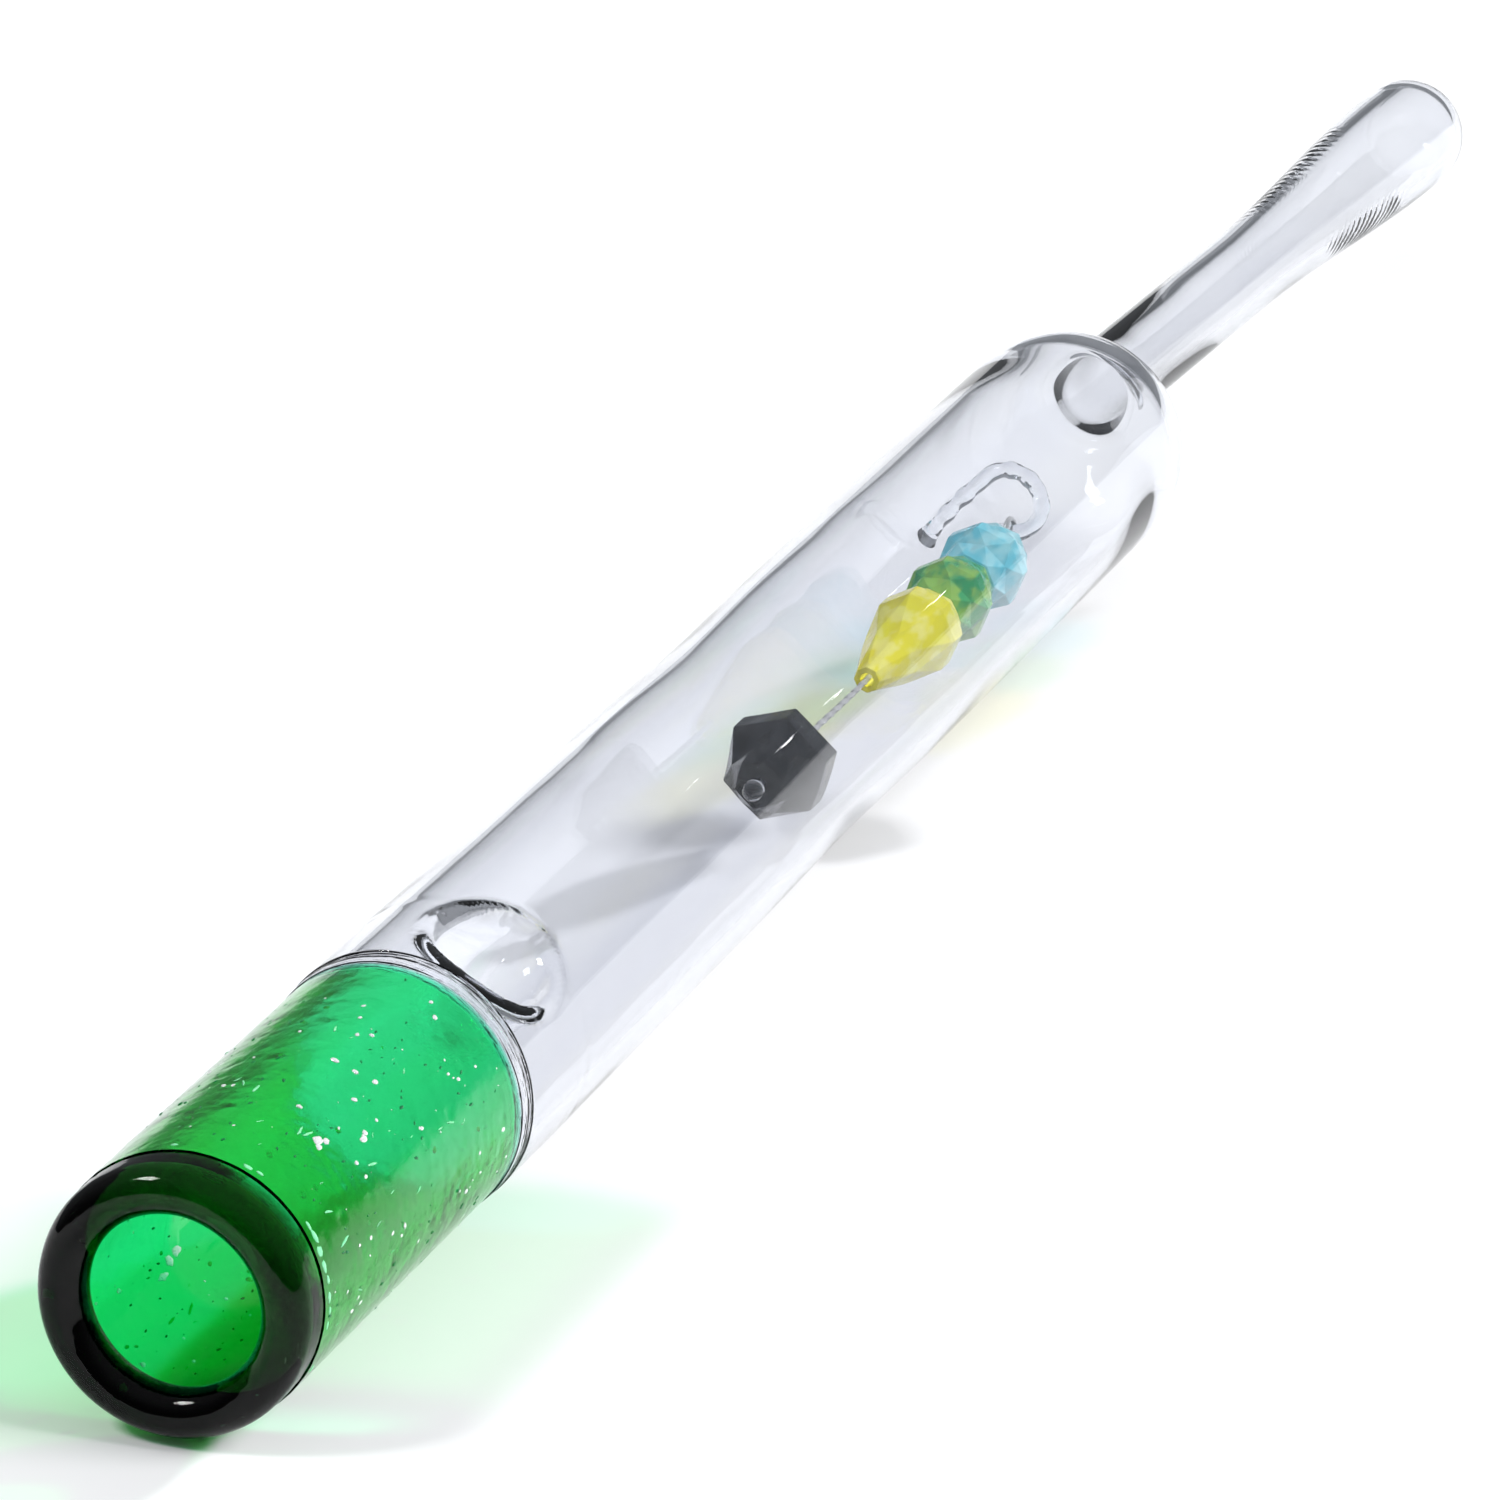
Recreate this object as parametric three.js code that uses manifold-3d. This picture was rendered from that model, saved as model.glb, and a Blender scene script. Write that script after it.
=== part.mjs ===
// A glass tube with a thick green mouth, a bowl pressed into its wall, and a wire of faceted beads inside.
// It lies along Y with its mouth at -Y. Millimetres, +Z up, origin under the middle of its length.
import * as THREE from 'three';
import { mergeVertices } from 'three/addons/utils/BufferGeometryUtils.js';
import Module from 'manifold-3d';

const wasm = await Module();
wasm.setup();

// Driving dimensions. A station is a distance from the mouth end, along the tube.
const overallLength = 354;
const axisHeight = 13.3;
const tubeSides = 24;
const handleSides = 16;
const jointGap = 0.3;

const lip = { section: 2.3, outerRadius: 13, steps: 12, slant: THREE.MathUtils.degToRad(5), slantReach: 30 };
const mouthTube = { radius: 13.1, wall: 2.4, slantEnd: 30, end: 50 };
const collar = { radius: 13.3, wall: 2.4, end: 52.2 };
const body = { radius: 12.95, wall: 1.6, flare: 0.35, flareStart: 66, flareFade: 35, end: 222, steps: 12 };
const waist = { station: 141, depth: 0.3, spread: 15 };
const dome = { radius: 12.95, centre: 230, wall: 1.8, squareness: 2.3, steps: 9, drillLength: 30 };
const handle = {
  radius: 4.8,
  wall: 1.5,
  root: 240.6,
  swell: 1.85,
  swellStart: 290,
  swellEnd: 344,
  swellSteps: 7,
  tipSteps: 5,
  sideways: -2.3,
  drift: 0.033,
};
// Heights in the bowl are measured from the tube's axis.
const bowl = {
  station: 60.5,
  mouthRadius: 6.4,
  cupRadius: 6.2,
  cupHeight: 3.6,
  wall: 1.4,
  rimWall: 0.8,
  holeRadius: 1.2,
  arcSteps: 6,
  neckHeight: 10,
  innerNeckHeight: 12,
  topHeight: 20,
  drillLength: 20,
  drillMiddle: 16,
  trimLength: 60,
};
const hook = {
  station: 212.5,
  ringRadius: 3.6,
  rodRadius: 0.8,
  curlFrom: 180,
  curlTo: -75,
  curlSteps: 20,
  rodSteps: 4,
  steps: 40,
};
const wire = {
  radius: 0.4,
  sides: 8,
  drop: 4.75,
  eyeRadius: 1.45,
  eyeWire: 0.3,
  eyeOverlap: 0.9,
  eyeClearance: 1.5,
  boreRadius: 0.8,
};
const stop = { radius: 1.2 };
const beadGap = 0.3;

// The tube can roll, so it rests with its bowl turned part of the way over towards +X.
const sideAngle = THREE.MathUtils.degToRad(131.8);
const bowlAngle = THREE.MathUtils.degToRad(29.3);

const toY = (station) => station - overallLength / 2;
const smooth = (u) => u * u * (3 - 2 * u);

// ---- Shapes ----

// An outline of [radius, station] points turned round the tube's axis, with flats that touch the radius.
function turned(outline, sides, firstAngle = Math.PI / sides) {
  const reach = 1 / Math.cos(Math.PI / sides);
  const points = outline.map(([radius, station]) => new THREE.Vector2(radius * reach, toY(station)));
  return new THREE.LatheGeometry(points, sides, firstAngle);
}

function closedLoop(outline) {
  return [...outline, outline[0]];
}

function stations(from, to, count) {
  return Array.from({ length: count + 1 }, (_, i) => from + ((to - from) * i) / count);
}

function toSolid(geometry) {
  const plain = geometry.clone();
  plain.deleteAttribute('normal');
  plain.deleteAttribute('uv');
  const merged = mergeVertices(plain, 1e-4);
  const vertProperties = new Float32Array(merged.attributes.position.array);
  const triVerts = new Uint32Array(merged.index.array);
  return new wasm.Manifold(new wasm.Mesh({ numProp: 3, vertProperties, triVerts }));
}

function toGeometry(solid) {
  const mesh = solid.getMesh();
  const geometry = new THREE.BufferGeometry();
  geometry.setAttribute('position', new THREE.BufferAttribute(new Float32Array(mesh.vertProperties), 3));
  geometry.setIndex(new THREE.BufferAttribute(new Uint32Array(mesh.triVerts), 1));
  const faceted = geometry.toNonIndexed();
  faceted.computeVertexNormals();
  return faceted;
}

// A plain round bar along Y, used as a cutter.
function bar(radius, length, sides) {
  return new THREE.CylinderGeometry(radius, radius, length, sides);
}

// A direction across the tube, at an angle from straight up towards +X.
function across(angle) {
  return new THREE.Vector3(Math.sin(angle), 0, Math.cos(angle));
}

function bodyRadius(station) {
  const flare = body.flare * Math.exp(-Math.max(0, station - body.flareStart) / body.flareFade);
  const pinch = waist.depth * Math.exp(-(((station - waist.station) / waist.spread) ** 2));
  return body.radius + flare - pinch;
}

function handleRadius(station) {
  const swellLength = handle.swellEnd - handle.swellStart;
  const u = THREE.MathUtils.clamp((station - handle.swellStart) / swellLength, 0, 1);
  return handle.radius + handle.swell * smooth(u);
}

// ---- Green mouth ----

// The mouth is cut a little out of square, so its upper side sits back from its lower side.
function slanted(geometry) {
  const away = across(sideAngle - Math.PI / 2);
  const position = geometry.attributes.position;
  for (let i = 0; i < position.count; i += 1) {
    const nearness = 1 - Math.min(1, Math.abs(position.getY(i) - toY(lip.section)) / lip.slantReach);
    const side = position.getX(i) * away.x + position.getZ(i) * away.z;
    position.setY(i, position.getY(i) + side * Math.tan(lip.slant) * smooth(nearness));
  }
  return geometry;
}

function lipRing() {
  const middle = lip.outerRadius - lip.section;
  const outline = Array.from({ length: lip.steps }, (_, i) => {
    const turn = (i / lip.steps) * 2 * Math.PI;
    return [middle + lip.section * Math.cos(turn), lip.section + lip.section * Math.sin(turn)];
  });
  return slanted(turned(closedLoop(outline), tubeSides));
}

function mouthTubeShell() {
  const start = lip.section * 2 + jointGap;
  const end = mouthTube.end - jointGap;
  const inner = mouthTube.radius - mouthTube.wall;
  const outline = closedLoop([
    [inner, start],
    [mouthTube.radius, start],
    [mouthTube.radius, mouthTube.slantEnd],
    [mouthTube.radius, end],
    [inner, end],
    [inner, mouthTube.slantEnd],
  ]);
  return slanted(turned(outline, tubeSides));
}

function weldCollar() {
  const inner = collar.radius - collar.wall;
  const end = collar.end - jointGap;
  return turned(closedLoop([
    [inner, mouthTube.end],
    [collar.radius, mouthTube.end],
    [collar.radius, end],
    [inner, end],
  ]), tubeSides);
}

// ---- Clear tube and bowl ----

// The bowl is drawn upright along Y, then turned to face its side of the tube.
function faceBowl(geometry) {
  const turn = new THREE.Quaternion().setFromUnitVectors(new THREE.Vector3(0, 1, 0), across(bowlAngle));
  geometry.applyQuaternion(turn);
  geometry.translate(0, toY(bowl.station), 0);
  return geometry;
}

function bodyTube() {
  const places = [collar.end, ...stations(body.flareStart, body.end - jointGap, body.steps)];
  const outer = places.map((station) => [bodyRadius(station), station]);
  const inner = places.map((station) => [bodyRadius(station) - body.wall, station]).reverse();
  const shell = toSolid(turned(closedLoop([...outer, ...inner]), tubeSides));
  const drill = bar(bowl.mouthRadius + jointGap, bowl.drillLength, tubeSides);
  drill.translate(0, bowl.drillMiddle, 0);
  return toGeometry(shell.subtract(toSolid(faceBowl(drill))));
}

function bowlCup() {
  const arc = (radius, from, to) => stations(from, to, bowl.arcSteps).map((turn) => {
    const angle = THREE.MathUtils.degToRad(turn);
    return new THREE.Vector2(radius * Math.sin(angle), bowl.cupHeight - radius * Math.cos(angle));
  });
  const innerCup = bowl.cupRadius - bowl.wall;
  const holeTurn = (radius) => THREE.MathUtils.radToDeg(Math.asin(bowl.holeRadius / radius));
  const outline = [
    ...arc(bowl.cupRadius, holeTurn(bowl.cupRadius), 90),
    new THREE.Vector2(bowl.mouthRadius, bowl.neckHeight),
    new THREE.Vector2(bowl.mouthRadius, bowl.topHeight),
    new THREE.Vector2(bowl.mouthRadius - bowl.rimWall, bowl.topHeight),
    new THREE.Vector2(bowl.mouthRadius - bowl.rimWall, bowl.innerNeckHeight),
    ...arc(innerCup, holeTurn(innerCup), 90).reverse(),
  ];
  const cup = new THREE.LatheGeometry([...outline, outline[0]], tubeSides);
  const outside = bar(bodyRadius(collar.end) / Math.cos(Math.PI / tubeSides), bowl.trimLength, tubeSides);
  outside.rotateY(Math.PI / tubeSides);
  outside.translate(0, toY(bowl.station), 0);
  return toGeometry(toSolid(faceBowl(cup)).intersect(toSolid(outside)));
}

// ---- Closed end and handle ----

function domeOutline(radius) {
  const power = 2 / dome.squareness;
  return stations(0, 1, dome.steps).map((u) => {
    const turn = (u * Math.PI) / 2;
    return [radius * Math.cos(turn) ** power, dome.centre + radius * Math.sin(turn) ** power];
  });
}

function handlePlaced(geometry) {
  const sideways = across(sideAngle);
  const along = sideways.clone().multiplyScalar(handle.drift).add(new THREE.Vector3(0, 1, 0)).normalize();
  geometry.applyQuaternion(new THREE.Quaternion().setFromUnitVectors(new THREE.Vector3(0, 1, 0), along));
  const root = sideways.multiplyScalar(handle.sideways);
  geometry.translate(root.x, toY(handle.root), root.z);
  return geometry;
}

function shoulderDome() {
  const outer = [[bodyRadius(body.end), body.end], ...domeOutline(dome.radius)];
  const innerStart = [bodyRadius(body.end) - body.wall, body.end];
  const inner = [...domeOutline(dome.radius - dome.wall).reverse(), innerStart];
  const shell = toSolid(turned([...inner, ...outer], tubeSides));
  const drill = bar(handle.radius + jointGap, dome.drillLength, handleSides);
  return toGeometry(shell.subtract(toSolid(handlePlaced(drill))));
}

function handleBlown() {
  const centre = overallLength - handle.radius - handle.swell;
  const tip = (radius) => stations(0, 90, handle.tipSteps).map((turn) => {
    const angle = THREE.MathUtils.degToRad(turn);
    return [radius * Math.cos(angle), centre + radius * Math.sin(angle)];
  });
  const full = handle.radius + handle.swell;
  const places = [handle.root, ...stations(handle.swellStart, handle.swellEnd, handle.swellSteps)];
  const outer = [...places.map((station) => [handleRadius(station), station]), ...tip(full)];
  const inner = [
    ...tip(full - handle.wall).reverse(),
    ...places.map((station) => [handleRadius(station) - handle.wall, station]).reverse(),
  ];
  const blown = turned([...inner, ...outer], handleSides);
  blown.translate(0, -toY(handle.root), 0);
  return handlePlaced(blown);
}

// ---- Glass hook ----

// The rod stands on the tube's inner wall, runs up beside the axis and curls right round it.
function glassHook() {
  const side = across(sideAngle);
  const up = across(sideAngle - Math.PI / 2);
  const wallRadius = bodyRadius(hook.station) - body.wall;
  const footDepth = Math.sqrt(wallRadius ** 2 - hook.ringRadius ** 2) - 2 * jointGap;
  const at = (sidePart, upPart) => new THREE.Vector3(
    side.x * sidePart + up.x * upPart, toY(hook.station), side.z * sidePart + up.z * upPart);
  // The straight rod stops just below the curl.
  const straight = stations(-footDepth, -1, hook.rodSteps).map((depth) => at(-hook.ringRadius, depth));
  const curl = stations(hook.curlFrom, hook.curlTo, hook.curlSteps).map((turn) => {
    const angle = THREE.MathUtils.degToRad(turn);
    return at(hook.ringRadius * Math.cos(angle), hook.ringRadius * Math.sin(angle));
  });
  const path = new THREE.CatmullRomCurve3([...straight, ...curl]);
  const section = new THREE.Shape();
  section.absarc(0, 0, hook.rodRadius, 0, 2 * Math.PI, false);
  return new THREE.ExtrudeGeometry(section, { steps: hook.steps, curveSegments: 5, extrudePath: path });
}

// ---- Wire and beads ----

// Each bead is two cones of flat facets with a straight belt between them. Near is the side of the mouth.
const beadSpecs = {
  blue_bead: { sides: 8, radius: 5, near: 5, far: 5, belt: 1.4, nearEnd: 3.6, farEnd: 3.6 },
  green_bead: { sides: 8, radius: 5, near: 5, far: 5, belt: 1.4, nearEnd: 3.6, farEnd: 3.6 },
  yellow_bead: { sides: 8, radius: 5, near: 14.4, far: 4.2, belt: 2.2, nearEnd: 1.6, farEnd: 3.8 },
  black_bead: { sides: 6, radius: 6, near: 5.5, far: 5.5, belt: 2.8, nearEnd: 2.9, farEnd: 2.9 },
};
const beadColours = {
  blue_bead: 0x58bfd0,
  green_bead: 0x4f9d4a,
  yellow_bead: 0xd6cf33,
  black_bead: 0x2c303a,
};
beadSpecs.black_bead.station = 145.8;

const eyeReach = wire.eyeRadius + wire.eyeWire;
beadSpecs.blue_bead.station = hook.station - eyeReach - wire.eyeClearance - beadSpecs.blue_bead.far;
beadSpecs.green_bead.station = beadSpecs.blue_bead.station - beadSpecs.blue_bead.near - beadGap
  - beadSpecs.green_bead.far;
beadSpecs.yellow_bead.station = beadSpecs.green_bead.station - beadSpecs.green_bead.near - beadGap
  - beadSpecs.yellow_bead.far;

function facetedBead(spec) {
  const outline = [
    [wire.boreRadius, -spec.near],
    [spec.nearEnd, -spec.near],
    [spec.radius, -spec.belt / 2],
    [spec.radius, spec.belt / 2],
    [spec.farEnd, spec.far],
    [wire.boreRadius, spec.far],
  ];
  const middle = toY(spec.station);
  const points = closedLoop(outline).map(([radius, along]) => new THREE.Vector2(radius, along + middle));
  return new THREE.LatheGeometry(points, spec.sides, sideAngle);
}

// One length of wire: an eye closed round the hook, then a straight run through the beads.
function beadWire() {
  const eye = new THREE.TorusGeometry(wire.eyeRadius, wire.eyeWire, 8, 20);
  eye.rotateY(Math.PI / 2);
  eye.translate(0, toY(hook.station), wire.drop - hook.ringRadius);
  const start = beadSpecs.black_bead.station - beadSpecs.black_bead.near;
  const end = hook.station - wire.eyeOverlap;
  const run = bar(wire.radius, end - start, wire.sides);
  run.translate(0, toY((start + end) / 2), 0);
  return toGeometry(toSolid(eye).add(toSolid(run)));
}

function stopBall() {
  const ball = new THREE.SphereGeometry(stop.radius, 12, 8);
  const end = beadSpecs.black_bead.station - beadSpecs.black_bead.near;
  ball.translate(0, toY(end) - jointGap - stop.radius, 0);
  return ball;
}

// ---- Assembly ----

const finishes = {
  greenGlass: { color: 0x17a84a, roughness: 0.12, metalness: 0 },
  darkGreenGlass: { color: 0x063d1c, roughness: 0.08, metalness: 0 },
  clearGlass: { color: 0xd9deea, roughness: 0.06, metalness: 0 },
  silverWire: { color: 0xa8abb0, roughness: 0.35, metalness: 0.8 },
};

function piece(name, geometry, finish) {
  const mesh = new THREE.Mesh(geometry, new THREE.MeshStandardMaterial(finish));
  mesh.name = name;
  return mesh;
}

const glass = new THREE.Group();
glass.add(
  piece('lip_ring', lipRing(), finishes.darkGreenGlass),
  piece('mouth_tube', mouthTubeShell(), finishes.greenGlass),
  piece('weld_collar', weldCollar(), finishes.clearGlass),
  piece('body_tube', bodyTube(), finishes.clearGlass),
  piece('bowl', bowlCup(), finishes.clearGlass),
  piece('shoulder_dome', shoulderDome(), finishes.clearGlass),
  piece('handle', handleBlown(), finishes.clearGlass),
  piece('glass_hook', glassHook(), finishes.clearGlass),
);

const beadString = new THREE.Group();
beadString.position.z = -wire.drop;
beadString.add(
  piece('bead_wire', beadWire(), finishes.silverWire),
  piece('stop_ball', stopBall(), finishes.silverWire),
);
for (const [name, spec] of Object.entries(beadSpecs)) {
  beadString.add(piece(name, facetedBead(spec), { color: beadColours[name], roughness: 0.15, metalness: 0 }));
}

const beadedTube = new THREE.Group();
beadedTube.add(glass, beadString);

// The slanted lip reaches a little past station 0, so the tube is centred on its real length.
const extent = new THREE.Box3().setFromObject(beadedTube, true);
beadedTube.position.set(0, -(extent.min.y + extent.max.y) / 2, axisHeight);

export default beadedTube;
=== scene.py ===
# A blown glass tube with a thick green mouth, a bowl pressed into its wall and beads on a wire inside.
import math

import bmesh
import bpy
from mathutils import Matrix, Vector, noise


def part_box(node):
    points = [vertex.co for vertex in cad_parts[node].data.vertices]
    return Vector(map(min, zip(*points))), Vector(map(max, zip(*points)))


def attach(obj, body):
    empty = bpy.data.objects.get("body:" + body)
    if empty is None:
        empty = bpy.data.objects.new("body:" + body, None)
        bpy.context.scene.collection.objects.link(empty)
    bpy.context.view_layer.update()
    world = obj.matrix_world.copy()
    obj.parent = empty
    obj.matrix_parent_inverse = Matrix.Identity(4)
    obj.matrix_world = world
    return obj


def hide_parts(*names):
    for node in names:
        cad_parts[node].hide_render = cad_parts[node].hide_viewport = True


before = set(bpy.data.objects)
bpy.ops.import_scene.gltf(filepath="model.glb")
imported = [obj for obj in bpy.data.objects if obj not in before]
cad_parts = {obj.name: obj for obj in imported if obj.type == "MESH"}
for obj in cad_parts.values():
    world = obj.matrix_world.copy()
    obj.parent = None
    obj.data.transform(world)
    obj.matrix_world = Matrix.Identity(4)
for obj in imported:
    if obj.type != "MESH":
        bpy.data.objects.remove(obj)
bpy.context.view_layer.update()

# Sizes are in millimetres. A station is a distance from the mouth, and the weld's front face is 50 along.
mm = 0.001
weldLow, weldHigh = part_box("weld_collar")
tube = {
    "mouthY": weldLow.y - 50 * mm,
    "axisHeight": (weldLow.z + weldHigh.z) / 2,
    "bowlAngle": 29.3,  # degrees from straight up towards +X
    "sideAngle": 131.8,  # the side that the handle leans away from
}


def across(degrees):
    turn = math.radians(degrees)
    return Vector((math.sin(turn), 0, math.cos(turn)))


bowlWay = across(tube["bowlAngle"])
bowlSide = across(tube["bowlAngle"] + 90)
sideWay = across(tube["sideAngle"])
upWay = across(tube["sideAngle"] - 90)


def smooth(u):
    u = max(0.0, min(1.0, u))
    return u * u * (3 - 2 * u)


def mix(a, b, share):
    return a + (b - a) * share


def spread(low, high, steps):
    return [mix(low, high, i / steps) for i in range(steps + 1)]


def placed(station, offset):
    # a point in the frame, in metres, from its station and its offset from the axis
    return Vector((offset.x * mm, tube["mouthY"] + station * mm, tube["axisHeight"] + offset.z * mm))


# One wrapped socket. Ordinary arithmetic on it adds the Math nodes.
class Value:
    def __init__(self, graph, socket):
        self.graph = graph
        self.socket = socket

    def maths(self, operation, first, second):
        return self.graph.add("ShaderNodeMath", {"operation": operation}, {0: first, 1: second})

    def __add__(self, other):
        return self.maths("ADD", self, other)

    def __sub__(self, other):
        return self.maths("SUBTRACT", self, other)

    def __mul__(self, other):
        return self.maths("MULTIPLY", self, other)

    def __truediv__(self, other):
        return self.maths("DIVIDE", self, other)

    def __pow__(self, other):
        return self.maths("POWER", self, other)

    __radd__ = __add__
    __rmul__ = __mul__

    def above(self, low, high):
        # 0 below low and 1 above high, with a soft step between
        return self.graph.add(
            "ShaderNodeMapRange", {"interpolation_type": "SMOOTHSTEP"},
            {"Value": self, "From Min": low, "From Max": high})


class Graph:
    def __init__(self, tree):
        self.tree = tree
        tree.nodes.clear()

    def feed(self, socket, value):
        if isinstance(value, Value):
            self.tree.links.new(value.socket, socket)
        else:
            socket.default_value = value

    def add(self, kind, settings=None, inputs=None, output=0):
        node = self.tree.nodes.new(kind)
        for name, value in (settings or {}).items():
            if name == "stops":
                elements = node.color_ramp.elements
                while len(elements) < len(value):
                    elements.new(0.5)
                for element, (place, colour) in zip(elements, value):
                    element.position = place
                    element.color = (*colour, 1)
            else:
                setattr(node, name, value)
        for name, value in (inputs or {}).items():
            self.feed(node.inputs[name], value)
        return Value(self, node.outputs[output]) if len(node.outputs) else None

    def mixed(self, share, first, second):
        # sockets 6 and 7 of a Mix node are its two colours, and output 2 the colour it gives
        return self.add("ShaderNodeMix", {"data_type": "RGBA"}, {0: share, 6: first, 7: second}, output=2)

    def objectPlace(self, scale=(1, 1, 1)):
        place = self.add("ShaderNodeTexCoord", output="Object")
        return self.add("ShaderNodeMapping", inputs={"Vector": place, "Scale": scale})

    def grain(self, size, stretch=(1, 1, 1), detail=3.0, roughness=0.5):
        # a noise whose lumps are about size millimetres wide, and shorter where stretch is above 1
        place = self.objectPlace(tuple(part / (size * mm) for part in stretch))
        settings = {"Vector": place, "Scale": 1.0, "Detail": detail, "Roughness": roughness}
        return self.add("ShaderNodeTexNoise", inputs=settings)

    def bumped(self, height, distance):
        # a height of 1 stands this many millimetres out of the surface
        return self.add("ShaderNodeBump", inputs={"Height": height, "Distance": distance * mm})

    def fromAxis(self):
        # the distance of the surface from the tube's axis, in millimetres
        place = self.add("ShaderNodeTexCoord", output="Object")
        parts = self.add("ShaderNodeSeparateXYZ", inputs={0: place})
        sideways = parts * (1 / mm)
        height = Value(self, parts.socket.node.outputs["Z"]) / mm - tube["axisHeight"] / mm
        return (sideways * sideways + height * height) ** 0.5


def newFinish(name):
    material = bpy.data.materials.new(name)
    material.use_nodes = True
    return material, Graph(material.node_tree)


def glassFinish(
    shell, graph, takenOff, shade, roughness, normal, colour, ior=1.47, clearness=1.0, fused=False
):
    # takenOff is what a millimetre of glass takes off red, green and blue light, and shade its shadow's colour
    glass = graph.add("ShaderNodeBsdfPrincipled", inputs={
        "Base Color": colour, "Roughness": roughness, "Normal": normal, "IOR": ior,
        "Transmission Weight": clearness})
    if fused:
        # where two glasses are melted together there is no surface between them
        melted = graph.add("ShaderNodeAttribute", {"attribute_name": "fused"}, output="Fac")
        nothing = graph.add("ShaderNodeBsdfTransparent")
        glass = graph.add("ShaderNodeMixShader", inputs={0: melted, 1: glass, 2: nothing})
    shadow = graph.add("ShaderNodeBsdfTransparent", inputs={"Color": (*shade, 1)})
    lampSide = graph.add("ShaderNodeLightPath", output="Is Shadow Ray")
    surface = graph.add("ShaderNodeMixShader", inputs={0: lampSide, 1: glass, 2: shadow})
    strongest = max(takenOff)
    left = tuple(1 - part / strongest for part in takenOff)
    inside = graph.add("ShaderNodeVolumeAbsorption", inputs={"Color": (*left, 1), "Density": strongest / mm})
    graph.add("ShaderNodeOutputMaterial", inputs={"Surface": surface, "Volume": inside})
    return shell


def solidFinish(shell, graph, colour, roughness, metallic, normal):
    surface = graph.add("ShaderNodeBsdfPrincipled", inputs={
        "Base Color": colour, "Roughness": roughness, "Metallic": metallic, "Normal": normal})
    graph.add("ShaderNodeOutputMaterial", inputs={"Surface": surface})
    return shell


def clearGlass():
    shell, graph = newFinish("clear glass")
    waves = graph.grain(9, (1, 0.3, 1), detail=1.0)
    dust = graph.grain(0.6, detail=2.0)
    tint = graph.mixed(waves, (0.965, 0.975, 0.998, 1), (0.985, 0.99, 1, 1))
    return glassFinish(
        shell, graph, (0.011, 0.0095, 0.004), (0.995, 0.995, 0.998), dust.above(0.6, 0.75) * 0.05,
        graph.bumped(waves, 0.08), tint, fused=True)


def weldGlass():
    shell, graph = newFinish("weld glass")
    lines = graph.grain(0.8, (0.25, 1.6, 0.25), detail=2.0)
    tint = graph.mixed(lines, (0.95, 0.96, 0.97, 1), (1, 1, 1, 1))
    return glassFinish(
        shell, graph, (0.028, 0.026, 0.018), (0.99, 0.99, 0.99), lines * 0.06, graph.bumped(lines, 0.2), tint,
        fused=True)


def greenGlass():
    shell, graph = newFinish("green glass")
    outside = graph.fromAxis().above(11.6, 12.4)  # between the tube's two skins
    fine = graph.grain(0.22, (1, 0.6, 1), detail=4.0, roughness=0.65)
    coarse = graph.grain(1.1, (1, 0.5, 1), detail=2.0)
    roughness = outside * (0.02 + 0.08 * coarse.above(0.5, 0.72)) + 0.01
    height = outside * (fine * 0.35 + coarse * 0.65)
    streaks = graph.grain(6, (1, 0.12, 1), detail=1.5).above(0.42, 0.62)
    colour = graph.mixed(streaks, (0.80, 1.0, 0.86, 1), (1, 1, 1, 1))
    return glassFinish(
        shell, graph, (1.5, 0.095, 0.50), (0.98, 1.0, 0.985), roughness, graph.bumped(height, 0.035), colour,
        fused=True)


def lipGlass():
    shell, graph = newFinish("dark green glass")
    swirl = graph.grain(5, (1, 2, 1), detail=2.0)
    colour = graph.mixed(swirl.above(0.4, 0.65), (0.55, 0.85, 0.65, 1), (0.9, 1, 0.92, 1))
    return glassFinish(
        shell, graph, (3.2, 0.66, 1.4), (0.80, 0.93, 0.85), swirl * 0.02, graph.bumped(swirl, 0.12), colour,
        ior=1.28, fused=True)


def beadFinish(name, takenOff, shade, plain, milk, clearness):
    # plain and milk are the two colours of the bead, and clearness how much of it is seen through
    shell, graph = newFinish(name)
    crazing = graph.grain(0.5, (1, 0.3, 1), detail=3.0)
    cloudy = graph.grain(2.2, (1, 0.6, 1), detail=2.0).above(0.42, 0.60)
    tint = graph.mixed(cloudy, (*plain, 1), (*milk, 1))
    return glassFinish(
        shell, graph, takenOff, shade, cloudy * 0.10 + 0.03, graph.bumped(crazing, 0.02), tint,
        ior=1.54, clearness=clearness)


def wireFinish():
    shell, graph = newFinish("wire")
    drawn = graph.grain(0.3, (1, 0.05, 1), detail=2.0)
    colour = graph.mixed(drawn, (0.50, 0.51, 0.52, 1), (0.78, 0.79, 0.80, 1))
    return solidFinish(shell, graph, colour, drawn * 0.2 + 0.35, 0.3, graph.bumped(drawn, 0.03))


def silverFleck():
    shell, graph = newFinish("silver fleck")
    crumple = graph.grain(0.3, detail=2.0)
    colour = graph.mixed(crumple, (0.82, 0.86, 0.84, 1), (1, 1, 1, 1))
    return solidFinish(shell, graph, colour, crumple * 0.2 + 0.2, 0.35, graph.bumped(crumple, 0.05))


# Painted shade: opaque dark green specks stand in for the shade seen in small bubbles and pits of the green
# glass.
def paintedPitShade():
    shell, graph = newFinish("painted pit shade")
    patch = graph.grain(0.3, detail=1.0)
    colour = graph.mixed(patch, (0.005, 0.09, 0.03, 1), (0.01, 0.20, 0.07, 1))
    return solidFinish(shell, graph, colour, patch * 0.2 + 0.25, 0.0, graph.bumped(patch, 0.03))


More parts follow.
